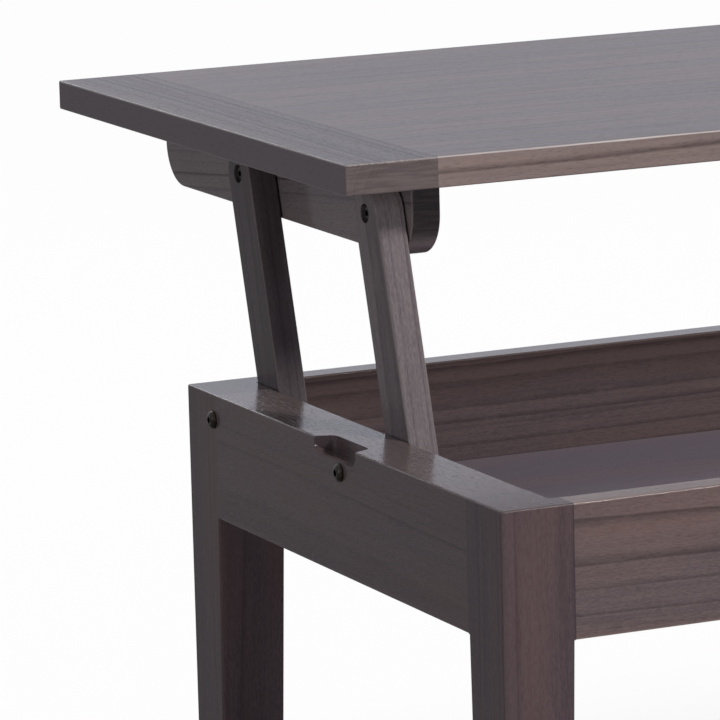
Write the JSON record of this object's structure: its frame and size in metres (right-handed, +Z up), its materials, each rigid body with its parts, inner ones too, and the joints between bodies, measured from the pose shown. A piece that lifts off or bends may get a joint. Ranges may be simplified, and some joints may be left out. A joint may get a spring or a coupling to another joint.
{
  "type": "lift-top coffee table",
  "caption": "Lift-top coffee table: a wooden top on parallel swinging arms over a shallow storage box, with tapered legs and finger notches in the end aprons.",
  "frame": {"origin": "on the floor, under the middle of the raised table's plan", "axes": "+X along the table's length, +Y towards the back, where the raised top overhangs, +Z up"},
  "size_m": [1.1024, 0.8558, 0.6831],
  "materials": {
    "frame_wood": "dark grey-brown stain under satin lacquer, open grain",
    "top_wood": "dark grey-brown stain under satin lacquer, open grain",
    "arm_wood": "dark grey-brown stain under satin lacquer, open grain",
    "floor_panel": "stained plywood, satin lacquer",
    "dowel_wood": "raw hardwood",
    "bronzed_steel": "antique bronze plating",
    "plain_steel": "zinc plated",
    "nylon": "moulded nylon"
  },
  "bodies": {
    "base": {"leg_front_left": "frame_wood", "leg_back_left": "frame_wood", "leg_front_right": "frame_wood", "leg_back_right": "frame_wood", "front_apron": "frame_wood", "back_apron": "frame_wood", "end_apron_left": "frame_wood", "end_apron_right": "frame_wood", "bottom_panel": "floor_panel", "apron_dowels": "dowel_wood", "foot_glides": "nylon", "lower_pivot_bolts": "bronzed_steel", "lower_sleeve_nuts": "plain_steel", "lower_pivot_washers": "nylon"},
    "arm_back_left": {"lift_arm_back_left": "arm_wood"},
    "arm_front_left": {"lift_arm_front_left": "arm_wood"},
    "arm_back_right": {"lift_arm_back_right": "arm_wood"},
    "arm_front_right": {"lift_arm_front_right": "arm_wood"},
    "top": {"bearer_left": "arm_wood", "bearer_right": "arm_wood", "bearer_screws": "plain_steel", "upper_pivot_bolts": "bronzed_steel", "upper_cap_nuts": "bronzed_steel", "upper_pivot_washers": "nylon", "top_panel": "top_wood", "end_board_left": "top_wood", "end_board_right": "top_wood"}
  },
  "joints": [
    {"name": "lift", "type": "hinge", "parent": "base", "child": "arm_back_left", "pos_m": [-0.4813, 0.11225, 0.4335], "axis": [1, 0, 0], "range_deg": [0, 108.12]},
    {"name": "front_left_pivot", "type": "hinge", "parent": "base", "child": "arm_front_left", "pos_m": [-0.4813, -0.13975, 0.4335], "axis": [1, 0, 0], "range_deg": [0, 108.12]},
    {"name": "back_right_pivot", "type": "hinge", "parent": "base", "child": "arm_back_right", "pos_m": [0.4813, 0.11225, 0.4335], "axis": [1, 0, 0], "range_deg": [0, 108.12]},
    {"name": "front_right_pivot", "type": "hinge", "parent": "base", "child": "arm_front_right", "pos_m": [0.4813, -0.13975, 0.4335], "axis": [1, 0, 0], "range_deg": [0, 108.12]},
    {"name": "top_pivot", "type": "hinge", "parent": "arm_back_left", "child": "top", "pos_m": [-0.4813, 0.1682, 0.62864], "axis": [1, 0, 0], "range_deg": [-108.12, 0]}
  ],
  "couplings": [
    {"joint": "front_left_pivot", "follows": "lift", "ratio": 1},
    {"joint": "back_right_pivot", "follows": "lift", "ratio": 1},
    {"joint": "front_right_pivot", "follows": "lift", "ratio": 1},
    {"joint": "top_pivot", "follows": "lift", "ratio": -1}
  ]
}
